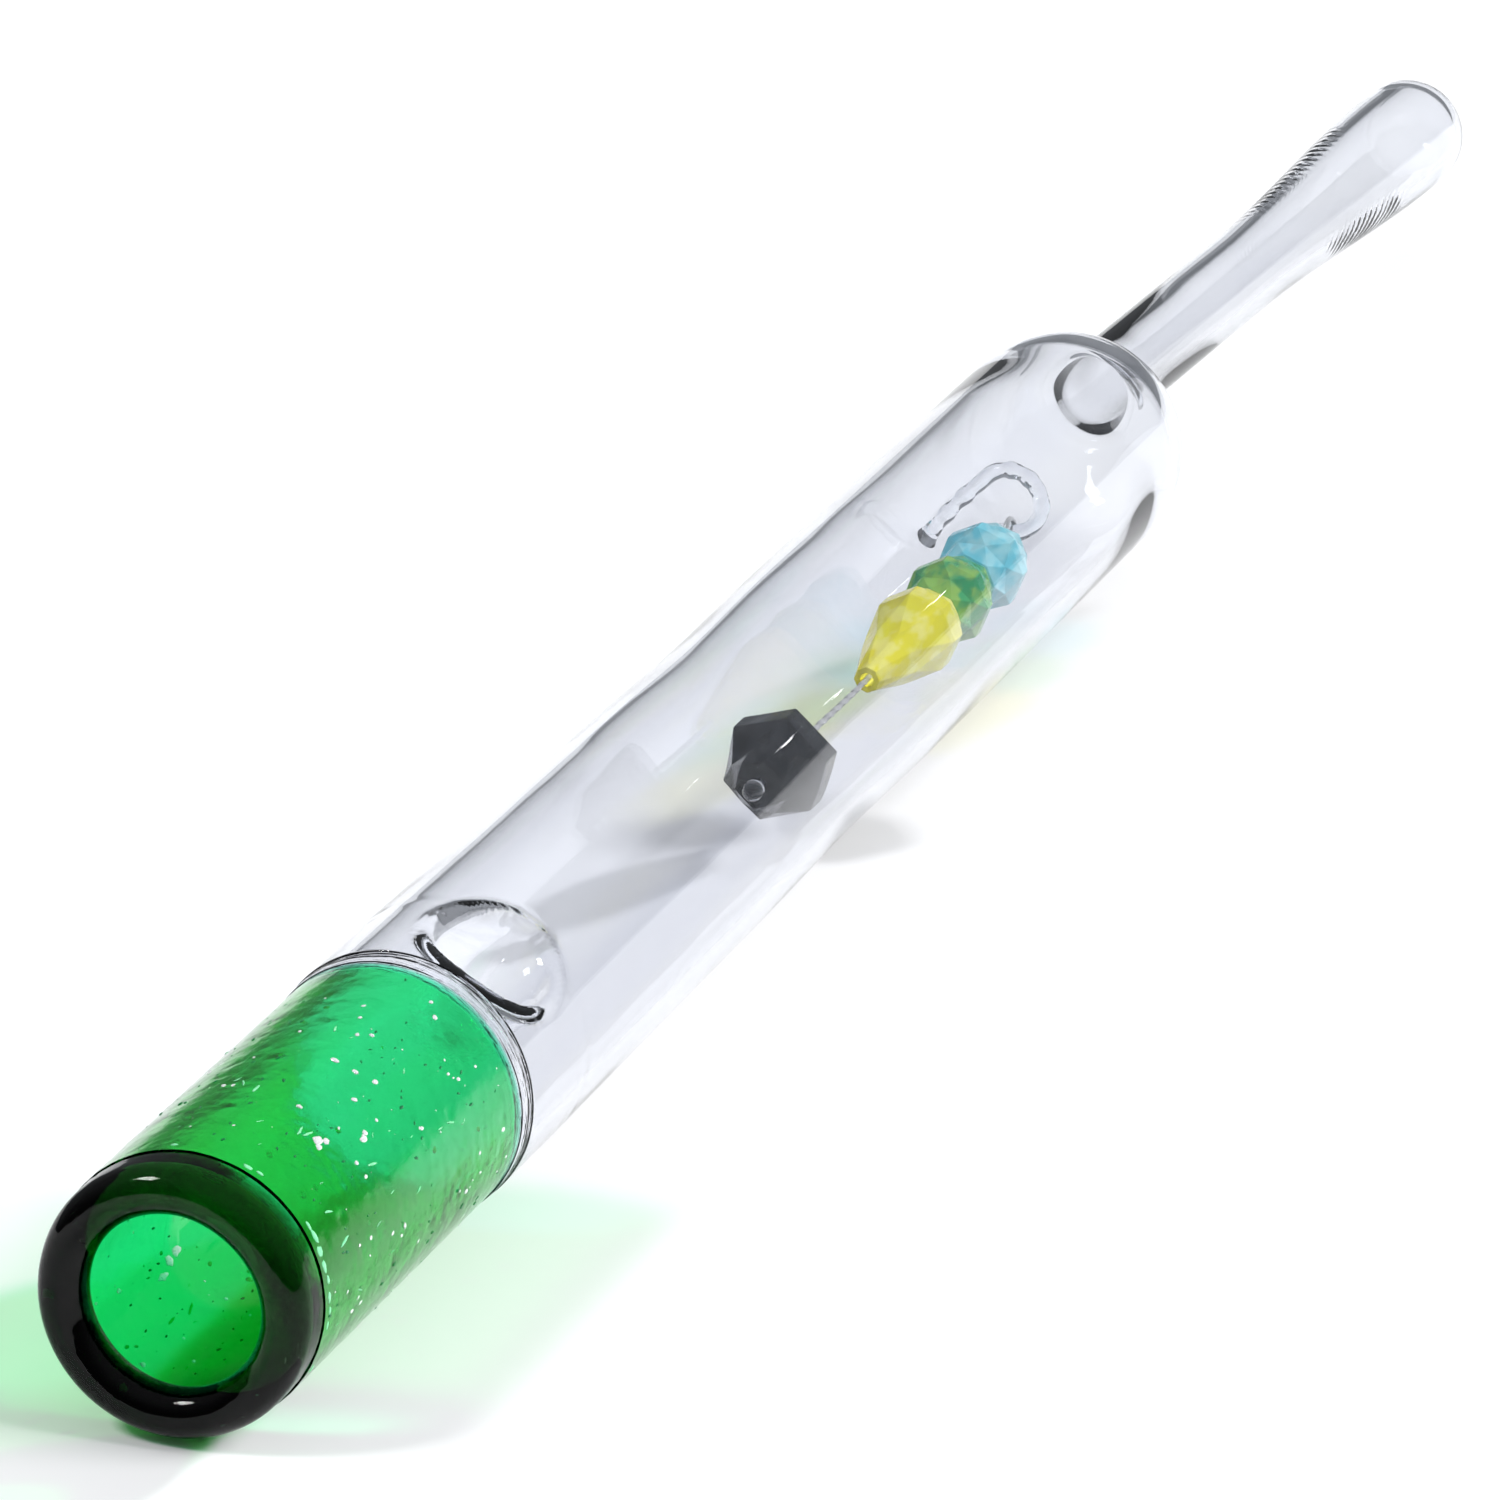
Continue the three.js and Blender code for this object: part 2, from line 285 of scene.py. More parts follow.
def paleFrit():
    shell, graph = newFinish("pale green frit")
    patch = graph.grain(0.5, detail=2.0)
    colour = graph.mixed(patch, (0.12, 0.62, 0.28, 1), (0.36, 0.88, 0.50, 1))
    return solidFinish(shell, graph, colour, patch * 0.2 + 0.3, 0.0, graph.bumped(patch, 0.08))


finishes = {
    "clear": clearGlass(),
    "weld": weldGlass(),
    "green": greenGlass(),
    "lip": lipGlass(),
    "blue": beadFinish(
        "blue bead", (0.05, 0.012, 0.008), (0.90, 0.98, 0.99), (0.26, 0.78, 0.90), (0.60, 0.94, 0.98), 0.5),
    "emerald": beadFinish(
        "green bead", (0.06, 0.015, 0.06), (0.90, 0.97, 0.88), (0.06, 0.50, 0.26), (0.50, 0.76, 0.20), 0.55),
    "yellow": beadFinish(
        "yellow bead", (0.004, 0.006, 0.08), (0.99, 0.985, 0.85), (0.90, 0.85, 0.06), (0.98, 0.96, 0.36),
        0.4),
    "black": beadFinish(
        "black bead", (0.42, 0.40, 0.37), (0.60, 0.61, 0.64), (0.16, 0.18, 0.21), (0.30, 0.32, 0.36), 0.92),
    "wire": wireFinish(),
    "silver": silverFleck(),
    "pit": paintedPitShade(),
    "frit": paleFrit(),
}
print("finishes made:", len(finishes))


def newPiece(name, corners, faces, finish, flat=False, fused=None):
    # fused says, for each face, whether it is melted to a neighbour
    mesh = bpy.data.meshes.new(name)
    mesh.from_pydata(corners, [], faces)
    shaped = bmesh.new()
    shaped.from_mesh(mesh)
    bmesh.ops.recalc_face_normals(shaped, faces=shaped.faces)
    shaped.to_mesh(mesh)
    shaped.free()
    mesh.polygons.foreach_set("use_smooth", [not flat] * len(mesh.polygons))
    if not flat:
        mesh.set_sharp_from_angle(angle=math.radians(50))
    if fused is not None:
        marks = mesh.attributes.new("fused", "FLOAT", "FACE")
        marks.data.foreach_set("value", [float(mark) for mark in fused])
    mesh.materials.append(finish)
    piece = bpy.data.objects.new(name, mesh)
    bpy.context.scene.collection.objects.link(piece)
    return piece


def bandBetween(first, firstCount, second, secondCount):
    # faces from one ring of corners to the next, where a ring of one corner is a pole
    if firstCount == 1:
        return [(first, second + (k + 1) % secondCount, second + k) for k in range(secondCount)]
    if secondCount == 1:
        return [(second, first + k, first + (k + 1) % firstCount) for k in range(firstCount)]
    return [
        (first + k, first + (k + 1) % firstCount, second + (k + 1) % secondCount, second + k)
        for k in range(firstCount)
    ]


def loft(rings, closed=False):
    corners = []
    starts = []
    for ring in rings:
        starts.append(len(corners))
        corners.extend(ring)
    faces = []
    for i in range(len(rings) if closed else len(rings) - 1):
        after = (i + 1) % len(rings)
        faces += bandBetween(starts[i], len(rings[i]), starts[after], len(rings[after]))
    return corners, faces


def bandsMarked(bands, columns, marked):
    # marks the faces of some of a lofted shape's bands
    return [band in marked for band in range(bands) for _ in range(columns)]


def finished(piece, body, nodes):
    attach(piece, body)
    if nodes:
        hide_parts(*nodes)
    return piece


clearTube = {
    "start": 52.14, "radius": 12.95, "wall": 1.6, "edge": 0.1, "columns": 144, "crowding": 0.5,
    "flare": 0.35, "flareStart": 66, "flareFade": 35,
    "waistStation": 141, "waistDepth": 0.3, "waistSpread": 15,
    "wobble": 0.05, "wobbleStart": 75, "wobbleEnd": 345, "wobbleFade": 20,
    "fineRows": 48, "coarseStart": 71, "coarseRows": 64,
    "domeCentre": 230, "domeWall": 1.8, "endWall": 1.0, "thickenStart": 215, "thickenOver": 15,
    "squareness": 2.3, "neckRadius": 6.3, "innerNeckRadius": 7.0,
}
handle = {
    "root": 243.6, "tip": 353.88, "radius": 4.8, "wall": 1.5,
    "swell": 1.85, "swellStart": 290, "swellEnd": 344,
    "sideways": -2.3, "drift": 0.033, "sidewaysFrom": 240.6,
    "neckWall": 0.9, "lag": 3,  # the wall is drawn thin at the neck, and its inner corner lies this far along
    "thickenOver": 30, "lagFade": 12,
    "rows": [(245, 296, 34), (296.4, 336, 96)],  # from, to and how many, closer together under the ridges
}
# Where the swell was twisted and left fine slanting ridges: middle station, angle, and half their reach.
twists = {
    "depth": 0.13, "pitch": 1.7, "lean": 6.0,
    "patches": [(315, -37, 19, 40), (318, 108, 13, 32)],
}
bowl = {
    "station": 60.5, "reach": 8.2, "cup": 3.9, "cupHeight": 4.2, "wall": 0.9, "hole": 1.2,
    "rim": 13.3, "underRim": 11.7, "depth": 5,
    # points of the outline beyond the round cup, each a radius and a height
    "rise": [
        (4.2, 6.2), (4.6, 8.2), (5.0, 9.9), (5.45, 11.3), (5.95, 12.3), (6.5, 12.9), (7.2, 13.2), (8.2, 13.3),
    ],
    "underRise": [
        (5.2, 6.2), (5.65, 8.0), (6.1, 9.2), (6.6, 10.2), (7.1, 10.95), (7.6, 11.4), (8.2, 11.68),
    ],
}


def bodyRadius(station):
    flare = clearTube["flare"] * math.exp(-max(0, station - clearTube["flareStart"]) / clearTube["flareFade"])
    waist = math.exp(-(((station - clearTube["waistStation"]) / clearTube["waistSpread"]) ** 2))
    return clearTube["radius"] + flare - clearTube["waistDepth"] * waist


def handleRadius(station):
    grown = smooth((station - handle["swellStart"]) / (handle["swellEnd"] - handle["swellStart"]))
    return handle["radius"] + handle["swell"] * grown


def handleOffset(station):
    return handle["sideways"] + handle["drift"] * (station - handle["sidewaysFrom"])


def curved(first, control, last, share):
    # a point on the soft corner between two points
    return [mix(mix(a, b, share), mix(b, c, share), share) for a, b, c in zip(first, control, last)]


# A row of the tube is its outer station and radius, its inner station and radius, and its lean to the side.
def bluntEdge():
    edge, start, wall = clearTube["edge"], clearTube["start"], clearTube["wall"]
    rows = []
    for turn in spread(math.pi / 2, 0, 6):
        station = start + edge * (1 - math.sin(turn))
        inset = edge * (1 - math.cos(turn))
        radius = bodyRadius(station)
        rows.append((station, radius - inset, station, radius - wall + inset, 0))
    return rows


def bodyRows():
    first = clearTube["start"] + clearTube["edge"]
    fine = spread(first + 0.3, bowl["station"] + bowl["reach"] + 0.6, clearTube["fineRows"])
    coarse = spread(clearTube["coarseStart"], clearTube["domeCentre"] - 1, clearTube["coarseRows"])
    rows = []
    for station in fine + coarse:
        thickened = smooth((station - clearTube["thickenStart"]) / clearTube["thickenOver"])
        wall = mix(clearTube["wall"], clearTube["domeWall"], thickened)
        rows.append((station, bodyRadius(station), station, bodyRadius(station) - wall, 0))
    return rows


def domeRows():
    centre = clearTube["domeCentre"]
    power = 2 / clearTube["squareness"]
    outer = bodyRadius(centre)
    inner = outer - clearTube["domeWall"]
    innerReach = outer - clearTube["endWall"]
    lastOuter = math.acos((clearTube["neckRadius"] / outer) ** (1 / power))
    lastInner = math.acos((clearTube["innerNeckRadius"] / inner) ** (1 / power))
    rows = []
    for u in spread(0, 1, 30):
        over, under = u * lastOuter, u * lastInner
        offset = handleOffset(centre + outer) * smooth((u - 0.4) / 0.6)
        rows.append((
            centre + outer * math.sin(over) ** power, outer * math.cos(over) ** power,
            centre + innerReach * math.sin(under) ** power, inner * math.cos(under) ** power, offset))
    last = rows[-1]
    root, radius, innerRadius = handle["root"], handle["radius"], handle["radius"] - handle["neckWall"]
    for u in spread(0.08, 1, 11):
        over = curved(last[:2], (last[0] + 0.3, radius + 0.1), (root, radius), u)
        under = curved(last[2:4], (last[2] + 0.6, innerRadius + 0.2), (root + handle["lag"], innerRadius), u)
        rows.append((*over, *under, handleOffset(over[0])))
    return rows


def handleRows():
    tipRadius = handleRadius(handle["tip"])
    centre = handle["tip"] - tipRadius
    innerTip = tipRadius - handle["wall"]
    lastRun = handle["rows"][-1][1] + 1
    stations = [station for run in (*handle["rows"], (lastRun, centre - 0.5, 9)) for station in spread(*run)]
    rows = []
    for station in stations:
        radius = handleRadius(station)
        run = station - handle["root"]
        wall = mix(handle["neckWall"], handle["wall"], smooth(run / handle["thickenOver"]))
        lag = handle["lag"] * (1 - smooth(run / handle["lagFade"]))
        rows.append((station, radius, station + lag, radius - wall, handleOffset(station)))
    for turn in spread(0, math.radians(84), 12):
        rise, run = math.sin(turn), math.cos(turn)
        rows.append((
            centre + tipRadius * rise, tipRadius * run, centre + innerTip * rise, innerTip * run,
            handleOffset(centre)))
    return rows


def ridge(station, degrees):
    # how deep the twist lines cut at this place of the handle
    mask = 0.0
    for middle, angle, halfLength, halfAngle in twists["patches"]:
        aside = (degrees - angle + 180) % 360 - 180
        reach = math.hypot((station - middle) / halfLength, aside / halfAngle)
        mask = max(mask, smooth((1 - reach) / 0.5))
    turns = station / twists["pitch"] + math.radians(degrees) * twists["lean"] / math.pi
    wave = math.sin(2 * math.pi * turns)
    ragged = 0.6 + 0.8 * noise.noise(Vector((station * 0.25, degrees * 0.06, 3)))
    return twists["depth"] * mask * ragged * (0.5 + 0.5 * wave)


def profilePoints(cup, height, rise):
    # the bowl's outline from the middle of its floor outwards
    turns = [math.radians(degrees) for degrees in range(0, 91, 6)]
    return [(cup * math.sin(turn), height - cup * math.cos(turn)) for turn in turns] + rise


def alongProfile(points, share):
    # the point that lies this share of the way along a bent line
    lengths = [math.dist(a, b) for a, b in zip(points, points[1:])]
    left = share * sum(lengths)
    for (a, b), length in zip(zip(points, points[1:]), lengths):
        if left <= length:
            return mix(a[0], b[0], left / length), mix(a[1], b[1], left / length)
        left -= length
    return points[-1]


def pressed(points, wallRadius, rimRadius, sideways, along, share):
    # a point of the wall after the bowl was pressed in, where sideways and along lead from the bowl's middle
    radius, height = alongProfile(points, share)
    depth = rimRadius - height
    deep = smooth(depth / bowl["depth"])
    away = math.hypot(sideways, along) or 1
    swung = radius * sideways / away
    bend = swung / clearTube["radius"]
    side = mix(wallRadius * math.sin(bend), swung, deep)
    up = mix(wallRadius * math.cos(bend), wallRadius, deep) - depth
    return bowl["station"] + radius * along / away, bowlWay * up + bowlSide * side


def bowlSkins():
    # for the outer skin, then the inner: the bowl's outline, its rim's radius and where its hole ends
    outer = profilePoints(bowl["cup"], bowl["cupHeight"], bowl["rise"])
    under = profilePoints(bowl["cup"] + bowl["wall"], bowl["cupHeight"], bowl["underRise"])
    skins = []
    for points, rim in ((outer, bowl["rim"]), (under, bowl["underRim"])):
        outside = (share for share in spread(0, 1, 400) if alongProfile(points, share)[0] >= bowl["hole"])
        skins.append((points, rim, next(outside)))
    return skins


def placesNearBowl(rows, turns):
    # the rows and columns of the wall that the bowl takes in, each with its way from the bowl's middle
    places = {}
    for i, row in enumerate(rows):
        along = row[0] - bowl["station"]
        for k, turn in enumerate(turns):
            sideways = clearTube["radius"] * ((turn + math.pi) % (2 * math.pi) - math.pi)
            if math.hypot(sideways, along) < bowl["reach"]:
                places[i, k] = (sideways, along)
    return places


def holeQuads(nearBowl, rowCount, reach):
    count = clearTube["columns"]

    def inHole(i, k):
        after = (k + 1) % count
        ring = [nearBowl.get(place) for place in ((i, k), (i, after), (i + 1, k), (i + 1, after))]
        return all(way is not None and math.hypot(*way) < reach for way in ring)

    return {(i, k) for i in range(rowCount - 1) for k in range(count) if inHole(i, k)}


def holeEdges(holes):
    # each edge between a quad of the hole and one of the wall, as its two places
    count = clearTube["columns"]
    edges = set()
    for i, k in holes:
        after = (k + 1) % count
        for first, second, beyond in (
            ((i, k), (i, after), (i - 1, k)),
            ((i + 1, k), (i + 1, after), (i + 1, k)),
            ((i, k), (i + 1, k), (i, (k - 1) % count)),
            ((i, after), (i + 1, after), (i, after)),
        ):
            if beyond not in holes:
                edges.add((first, second))
    return edges


def wallPoint(row, skin, turn):
    # a point of the wall away from the bowl, where the glass is a little uneven
    station, radius, offset = row[2 * skin], row[2 * skin + 1], row[4]
    degrees = math.degrees(turn) + tube["bowlAngle"]
    way = across(degrees)
    fromStart = smooth((station - clearTube["wobbleStart"]) / clearTube["wobbleFade"])
    fromEnd = smooth((clearTube["wobbleEnd"] - station) / clearTube["wobbleFade"])
    lump = noise.noise(Vector((way.x * 0.9, station * 0.035, way.z * 0.9 + skin * 4)))
    inset = clearTube["wobble"] * fromStart * fromEnd * (0.5 + 0.5 * lump)
    if skin == 0 and station > handle["swellStart"]:
        inset += ridge(station, degrees)
    return placed(station, way * (radius - inset) + sideWay * offset)


def tubeCorners(rows, turns, skins, nearBowl, rimPlaces):
    corners = []
    for skin, (points, rim, holeShare) in enumerate(skins):
        for i, row in enumerate(rows):
            for k, turn in enumerate(turns):
                if (i, k) not in nearBowl:
                    corners.append(wallPoint(row, skin, turn))
                    continue
                sideways, along = nearBowl[i, k]
                share = holeShare if (i, k) in rimPlaces else math.hypot(sideways, along) / bowl["reach"]
                corners.append(placed(*pressed(points, row[2 * skin + 1], rim, sideways, along, share)))
    tipOffset = sideWay * rows[-1][4]
    corners.append(placed(handle["tip"], tipOffset))
    corners.append(placed(handle["tip"] - handle["wall"], tipOffset))
    return corners


def tubeFaces(rowCount, holes, edges):
    # the melted end first, then both skins, the wall of the hole, and the tip outside and inside
    count = clearTube["columns"]
    size = rowCount * count
    lastRow = size - count
    faces = [((k + 1) % count, k, size + k, size + (k + 1) % count) for k in range(count)]
    for i in range(rowCount - 1):
        for k in range(count):
            if (i, k) in holes:
                continue
            after = (k + 1) % count
            quad = (i * count + k, i * count + after, (i + 1) * count + after, (i + 1) * count + k)
            faces.append(quad)
            faces.append(tuple(size + corner for corner in reversed(quad)))
    for (firstRow, firstColumn), (secondRow, secondColumn) in sorted(edges):
        first, second = firstRow * count + firstColumn, secondRow * count + secondColumn
        faces.append((first, second, size + second, size + first))
    for k in range(count):
        after = (k + 1) % count
        faces.append((lastRow + k, lastRow + after, 2 * size))
        faces.append((size + lastRow + after, size + lastRow + k, 2 * size + 1))
    return faces


def withoutUnused(corners, faces):
    used = sorted({corner for face in faces for corner in face})
    numbers = {corner: number for number, corner in enumerate(used)}
    return [corners[corner] for corner in used], [tuple(numbers[corner] for corner in face) for face in faces]


def makeClearTube():
    rows = bluntEdge() + bodyRows() + domeRows() + handleRows()
    count = clearTube["columns"]
    # the columns stand closer together where the bowl is
    turns = [t - clearTube["crowding"] * math.sin(t) for t in (2 * math.pi * k / count for k in range(count))]
    skins = bowlSkins()
    nearBowl = placesNearBowl(rows, turns)
    holes = holeQuads(nearBowl, len(rows), max(share for _, _, share in skins) * bowl["reach"])
    edges = holeEdges(holes)
    corners = tubeCorners(rows, turns, skins, nearBowl, {place for edge in edges for place in edge})
    corners, faces = withoutUnused(corners, tubeFaces(len(rows), holes, edges))
    fused = [number < count for number in range(len(faces))]
    piece = newPiece("clear_tube", corners, faces, finishes["clear"], fused=fused)
    return finished(piece, "glass", ("body_tube", "bowl", "shoulder_dome", "handle"))


makeClearTube()
print("clear tube made")

lip = {
    "outer": 13.0, "hole": 8.4, "section": 2.3, "back": 5.0, "slant": math.radians(5), "slantReach": 30,
    "columns": 160,
}
greenTube = {
    "start": 5.01, "end": 49.95, "outer": 13.1, "inner": 10.7, "wear": 0.10, "unevenness": 0.05,
    "rows": 112, "columns": 200,
}


def slanted(station, offset):
    # the mouth is cut a little out of square, and the slant dies away along the tube
    nearness = 1 - min(1, abs(station - lip["section"]) / lip["slantReach"])
    return placed(station + offset.dot(upWay) * math.tan(lip["slant"]) * smooth(nearness), offset)


def turnedRing(station, radius, columns, bump=None):
    ring = []
    for k in range(columns):
        degrees = 360 * k / columns
        way = across(degrees)
        lift = bump(station, way) if bump else 0
        ring.append(slanted(station, way * (radius - lift)))
    return ring


def makeLip():
    middle, section = lip["outer"] - lip["section"], lip["section"]
    outline = []
    for turn in spread(0, math.pi, 26):
        outline.append((section - section * math.sin(turn), middle + section * math.cos(turn)))
    innerBack = greenTube["inner"] + 0.05
    for u in spread(0.1, 1, 9):
        outline.append(curved((section, lip["hole"]), (4.1, lip["hole"] + 0.1), (lip["back"], innerBack), u))
    # the back is flat against the green tube, and its outer edge is barely rounded
    outer = lip["outer"]
    outline += [(lip["back"], radius) for radius in spread(innerBack + 0.4, outer - 0.3, 4)]
    outline += [(lip["back"] - 0.1, outer - 0.03), (lip["back"] - 1, outer), (3.1, outer)]

    def sway(station, way):
        return 0.10 + 0.10 * noise.noise(Vector((way.x * 1.4, station * 0.1, way.z * 1.4)))

    rings = [turnedRing(station, radius, lip["columns"], sway) for station, radius in outline]
    corners, faces = loft(rings, closed=True)
    steps = list(zip(outline, outline[1:]))
    backFace = [i for i, (this, after) in enumerate(steps) if this[0] == after[0] == lip["back"]]
    fused = bandsMarked(len(rings), lip["columns"], backFace)
    piece = newPiece("mouth_lip", corners, faces, finishes["lip"], fused=fused)
    return finished(piece, "glass", ("lip_ring",))


def makeGreenTube():
    stations = spread(greenTube["start"], greenTube["end"], greenTube["rows"])

    def worn(station, way):
        spot = Vector((way.x * 13, station, way.z * 13))
        coarse = noise.noise(spot * 0.35)
        fine = noise.noise(spot * 1.3)
        pit = max(0.0, noise.noise(spot * 0.8 + Vector((7, 0, 3))) - 0.35)
        return greenTube["wear"] * (0.5 + 0.35 * coarse + 0.3 * fine + 1.5 * pit)

    def gentle(station, way):
        return greenTube["unevenness"] * noise.noise(Vector((way.x * 2, station * 0.08, way.z * 2 + 9)))

    columns = greenTube["columns"]
    rings = [turnedRing(station, greenTube["outer"], columns, worn) for station in stations]
    rings += [turnedRing(station, greenTube["inner"], columns, gentle) for station in reversed(stations)]
    corners, faces = loft(rings, closed=True)
    fused = bandsMarked(len(rings), columns, (len(stations) - 1, len(rings) - 1))
    piece = newPiece("green_tube", corners, faces, finishes["green"], fused=fused)
    return finished(piece, "glass", ("mouth_tube",))


weld = {
    "start": 49.96, "end": 52.13, "outer": 13.2, "inner": 10.85, "ridges": 4, "ridge": 0.045, "sway": 0.12,
    "rows": 28, "columns": 160,
}


def makeWeld():
    stations = spread(weld["start"], weld["end"], weld["rows"])

    def ridged(station, way):
        along = (station - weld["start"]) / (weld["end"] - weld["start"])
        sway = weld["sway"] * noise.noise(Vector((way.x * 1.5, 0, way.z * 1.5)))
        return weld["ridge"] * (0.5 + 0.5 * math.cos(2 * math.pi * weld["ridges"] * (along + sway)))

    rings = [turnedRing(station, weld["outer"], weld["columns"], ridged) for station in stations]
    rings += [turnedRing(station, weld["inner"], weld["columns"]) for station in reversed(stations)]
    corners, faces = loft(rings, closed=True)
    fused = bandsMarked(len(rings), weld["columns"], (len(stations) - 1, len(rings) - 1))
    piece = newPiece("weld_ring", corners, faces, finishes["weld"], fused=fused)
    return finished(piece, "glass", ("weld_collar",))


makeLip()
makeGreenTube()
makeWeld()
print("green mouth and weld made")

hook = {
    "station": 212.5, "ring": 3.6, "rod": 0.9, "footDepth": 10.6, "footFlare": 0.5, "flareFade": 0.7,
    "footRows": 30, "lastTurn": -75, "unevenness": 0.2, "endRows": 6, "thinnest": 0.12, "columns": 18,
}


def makeHook():
    # seen along the tube: the foot's stem up from the wall, then the curl
    path = [
        (-hook["ring"] - 0.25 * math.sin(u * 3), -mix(hook["footDepth"], 0.6, u))
        for u in spread(0, 1, hook["footRows"])
    ]
    for turn in spread(180, hook["lastTurn"], 70):
        angle = math.radians(turn)
        path.append((hook["ring"] * math.cos(angle), hook["ring"] * math.sin(angle)))
    rings = []
    for i, point in enumerate(path):
        before, after = path[max(i - 1, 0)], path[min(i + 1, len(path) - 1)]
        run = Vector((after[0] - before[0], after[1] - before[1])).normalized()
        foot = 0.0
        if i <= hook["footRows"]:
            foot = hook["footFlare"] * math.exp(-(point[1] + hook["footDepth"]) / hook["flareFade"])
        left = (len(path) - 1 - i) / hook["endRows"]
        end = max(math.sqrt(1 - (1 - min(1, left)) ** 2), hook["thinnest"])
        thick = (hook["rod"] * (1 + hook["unevenness"] * noise.noise(Vector((i * 0.21, 2, 5)))) + foot) * end
        ring = []
        for k in range(hook["columns"]):
            turn = 2 * math.pi * k / hook["columns"]
            out = math.cos(turn) * thick
            offset = sideWay * (point[0] - run.y * out) + upWay * (point[1] + run.x * out)
            ring.append(placed(hook["station"] + math.sin(turn) * thick, offset))
        rings.append(ring)
    middle = [sum(ring, Vector()) / len(ring) for ring in (rings[0], rings[-1])]
    corners, faces = loft([[middle[0]], *rings, [middle[1]]])
    piece = newPiece("curled_hook", corners, faces, finishes["clear"])
    return finished(piece, "glass", ("glass_hook",))


makeHook()

string = {
    "drop": 4.75, "radius": 0.32, "bore": 0.8, "pastBead": 5.6, "intoEye": 0.2, "twist": 1.1, "kink": 0.12,
    "eye": 1.45, "eyeWire": 0.28,
}
# Between a bead's end and its belt lies a ring of corners that stands a little proud of the plain cone, so
# that each facet gets its own tilt.
facets = {"middle": 0.52, "reach": 1.05, "bevel": 0.07, "bevelAngle": 12}
beads = {
    "blue_bead": {
        "station": 204.25, "sides": 8, "radius": 4.95, "near": 4.95, "far": 4.95, "belt": 1.4,
        "nearEnd": 3.4, "farEnd": 3.4, "finish": "blue",
    },
    "green_bead": {
        "station": 193.95, "sides": 8, "radius": 4.95, "near": 4.95, "far": 4.95, "belt": 1.4,
        "nearEnd": 3.4, "farEnd": 3.4, "finish": "emerald",
    },
    "yellow_bead": {
        "station": 184.45, "sides": 8, "radius": 4.95, "near": 14.3, "far": 4.15, "belt": 2.2,
        "nearEnd": 1.5, "farEnd": 3.6, "finish": "yellow",
    },
    "black_bead": {
        "station": 145.8, "sides": 6, "radius": 5.95, "near": 5.45, "far": 5.45, "belt": 2.8,
        "nearEnd": 2.8, "farEnd": 2.8, "finish": "black",
    },
}
stringOffset = Vector((0, 0, -string["drop"]))


def beadRing(spec, along, radius, halfStep=0.0):
    ring = []
    for k in range(spec["sides"]):
        way = across(tube["sideAngle"] + 360 * (k + halfStep) / spec["sides"])
        ring.append(placed(spec["station"] + along, way * radius + stringOffset))
    return ring


def zigzag(first, second, sides, ahead):
    # triangles between a ring and one turned by half a step
    faces = []
    for k in range(sides):
        after = (k + 1) % sides
        if ahead:
            faces += [(first + k, first + after, second + k), (first + after, second + after, second + k)]
        else:
            faces += [(first + k, second + after, second + k), (first + k, first + after, second + after)]
    return faces


def makeBead(name, spec):
    sides, half = spec["sides"], spec["belt"] / 2
    proud = math.cos(math.pi / sides) * facets["reach"]
    nearMiddle = mix(spec["nearEnd"], spec["radius"], facets["middle"]) * proud
    farMiddle = mix(spec["farEnd"], spec["radius"], facets["middle"]) * proud
    rings = [
        beadRing(spec, -spec["near"], string["bore"]),
        beadRing(spec, -spec["near"], spec["nearEnd"]),
        beadRing(spec, mix(-spec["near"], -half, 0.5), nearMiddle, 0.5),
        beadRing(spec, -half, spec["radius"]),
        beadRing(spec, half, spec["radius"]),
        beadRing(spec, mix(spec["far"], half, 0.5), farMiddle, 0.5),
        beadRing(spec, spec["far"], spec["farEnd"]),
        beadRing(spec, spec["far"], string["bore"]),
    ]
    corners = [corner for ring in rings for corner in ring]
    faces = []
    for i, band in enumerate(("plain", "ahead", "behind", "plain", "ahead", "behind", "plain", "plain")):
        first, second = i * sides, (i + 1) % len(rings) * sides
        if band == "plain":
            faces += bandBetween(first, sides, second, sides)
        else:
            faces += zigzag(first, second, sides, band == "ahead")
    piece = newPiece(name.replace("_bead", "_crystal"), corners, faces, finishes[spec["finish"]], flat=True)
    bevel = piece.modifiers.new("worn edges", "BEVEL")
    bevel.width = facets["bevel"] * mm
    bevel.segments = 2
    bevel.limit_method = "ANGLE"
    bevel.angle_limit = math.radians(facets["bevelAngle"])
    return finished(piece, name, (name,))


for beadName, beadSpec in beads.items():
    makeBead(beadName, beadSpec)
print("hook and beads made")


